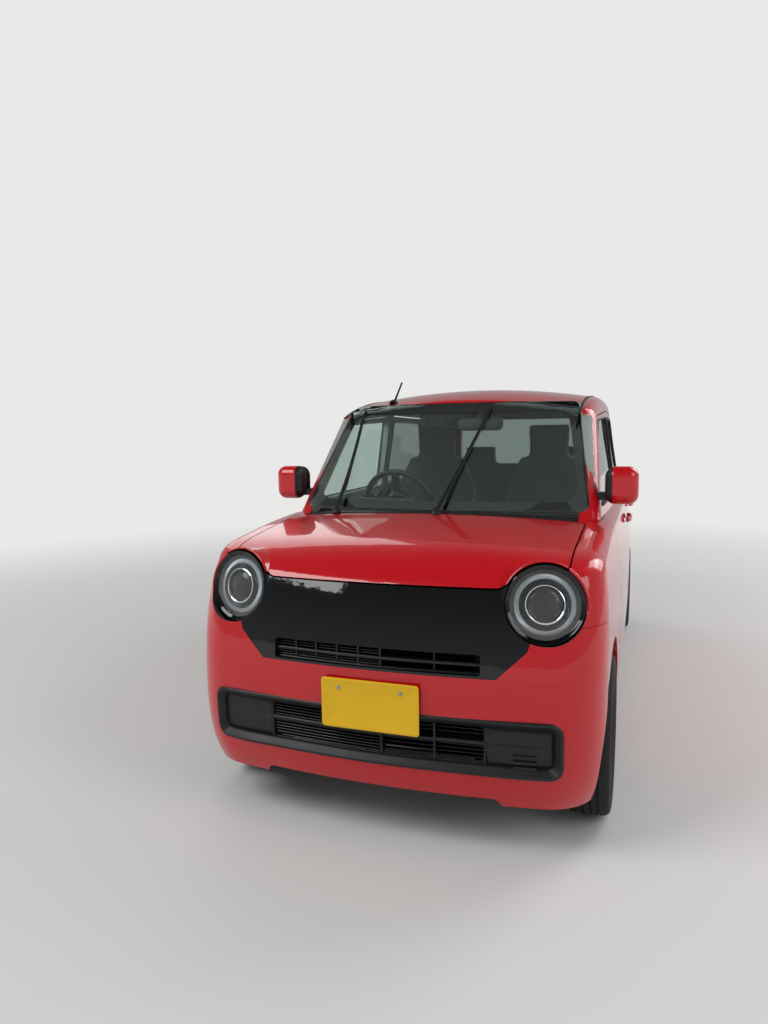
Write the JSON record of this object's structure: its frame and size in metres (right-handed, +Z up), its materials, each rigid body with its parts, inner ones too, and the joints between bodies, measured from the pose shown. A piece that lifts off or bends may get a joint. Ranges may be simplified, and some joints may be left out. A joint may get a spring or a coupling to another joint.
{
  "type": "kei car",
  "caption": "Compact upright hatchback with round lamps, hinged side doors, front lid, tailgate, steered front wheels and an open cabin with seats.",
  "frame": {"origin": "on the ground, at the centre of the box round the car", "axes": "+Z up, front of the car towards -Y, the car's left towards +X"},
  "size_m": [1.578, 3.3968, 1.5456],
  "materials": {
    "paint": "bright red gloss paint",
    "underbody": "dark sealer over steel",
    "trim": "satin black plastic",
    "gloss_black": "gloss black plastic",
    "lamp": "clear lens over a bright bowl",
    "red_lens": "red lens",
    "glass": "clear safety glass",
    "interior": "grained dark plastic",
    "fabric": "woven dark cloth",
    "alloy": "cast aluminium",
    "iron": "black coated iron",
    "steel": "plain steel pipe",
    "tyre": "black rubber"
  },
  "bodies": {
    "car_body": {"floor_pan": "underbody", "body_sides": "paint", "roof_panel": "paint", "cowl_panel": "trim", "front_fenders": "paint", "front_bumper": "paint", "grille_panel": "gloss_black", "front_grilles": "trim", "headlamps": "lamp", "rear_bumper": "paint", "tail_lamps": "red_lens", "windscreen": "glass", "dashboard": "interior", "front_seats": "fabric", "rear_seat": "fabric", "engine_block": "alloy", "front_subframe": "iron", "rear_axle": "iron", "fuel_tank": "trim", "exhaust": "steel", "wheelhouses": "underbody"},
    "steering": {"steering_wheel": "interior"},
    "front_lid": {"bonnet": "paint"},
    "rear_gate": {"tailgate": "paint", "tailgate_glass": "glass"},
    "knuckle_left": {"front_knuckle_left": "iron"},
    "front_wheel_left": {"wheel_front_left": "alloy", "tyre_front_left": "tyre"},
    "rear_wheel_left": {"wheel_rear_left": "alloy", "tyre_rear_left": "tyre"},
    "front_door_left": {"door_front_left": "paint", "door_glass_front_left": "glass", "mirror_left": "paint"},
    "rear_door_left": {"door_rear_left": "paint", "door_glass_rear_left": "glass"},
    "knuckle_right": {"front_knuckle_right": "iron"},
    "front_wheel_right": {"wheel_front_right": "alloy", "tyre_front_right": "tyre"},
    "rear_wheel_right": {"wheel_rear_right": "alloy", "tyre_rear_right": "tyre"},
    "front_door_right": {"door_front_right": "paint", "door_glass_front_right": "glass", "mirror_right": "paint"},
    "rear_door_right": {"door_rear_right": "paint", "door_glass_rear_right": "glass"}
  },
  "joints": [
    {"name": "steer_left", "type": "hinge", "parent": "car_body", "child": "knuckle_left", "pos_m": [0.59, -1.2075, 0.185], "axis": [-0.1327, 0, 0.9912], "range_deg": [-32, 32]},
    {"name": "spin_front_left", "type": "hinge", "parent": "knuckle_left", "child": "front_wheel_left", "pos_m": [0.6525, -1.2075, 0.278], "axis": [1, 0, 0], "continuous": true},
    {"name": "spin_rear_left", "type": "hinge", "parent": "car_body", "child": "rear_wheel_left", "pos_m": [0.6525, 1.3125, 0.278], "axis": [1, 0, 0], "continuous": true},
    {"name": "steer_right", "type": "hinge", "parent": "car_body", "child": "knuckle_right", "pos_m": [-0.59, -1.2075, 0.185], "axis": [0.1327, 0, 0.9912], "range_deg": [-32, 32]},
    {"name": "spin_front_right", "type": "hinge", "parent": "knuckle_right", "child": "front_wheel_right", "pos_m": [-0.6525, -1.2075, 0.278], "axis": [1, 0, 0], "continuous": true},
    {"name": "spin_rear_right", "type": "hinge", "parent": "car_body", "child": "rear_wheel_right", "pos_m": [-0.6525, 1.3125, 0.278], "axis": [1, 0, 0], "continuous": true},
    {"name": "steering_turn", "type": "hinge", "parent": "car_body", "child": "steering", "pos_m": [-0.33, -0.3725, 0.992], "axis": [0, 0.9063, 0.4226], "range_deg": [-482, 482]},
    {"name": "open_door_front_left", "type": "hinge", "parent": "car_body", "child": "front_door_left", "pos_m": [0.72761, -0.8095, 0.6], "axis": [0, 0, -1], "range_deg": [0, 66]},
    {"name": "open_door_rear_left", "type": "hinge", "parent": "car_body", "child": "rear_door_left", "pos_m": [0.73432, 0.246, 0.6], "axis": [0, 0, -1], "range_deg": [0, 68]},
    {"name": "open_door_front_right", "type": "hinge", "parent": "car_body", "child": "front_door_right", "pos_m": [-0.72761, -0.8095, 0.6], "axis": [0, 0, 1], "range_deg": [0, 66]},
    {"name": "open_door_rear_right", "type": "hinge", "parent": "car_body", "child": "rear_door_right", "pos_m": [-0.73432, 0.246, 0.6], "axis": [0, 0, 1], "range_deg": [0, 68]},
    {"name": "open_bonnet", "type": "hinge", "parent": "car_body", "child": "front_lid", "pos_m": [0, -0.9335, 0.98], "axis": [-1, 0, 0], "range_deg": [0, 48]},
    {"name": "open_tailgate", "type": "hinge", "parent": "car_body", "child": "rear_gate", "pos_m": [0, 1.3415, 1.48037], "axis": [1, 0, 0], "range_deg": [0, 78]}
  ],
  "couplings": [
    {"joint": "steer_right", "follows": "steer_left", "ratio": 1},
    {"joint": "steering_turn", "follows": "steer_left", "ratio": 15}
  ]
}
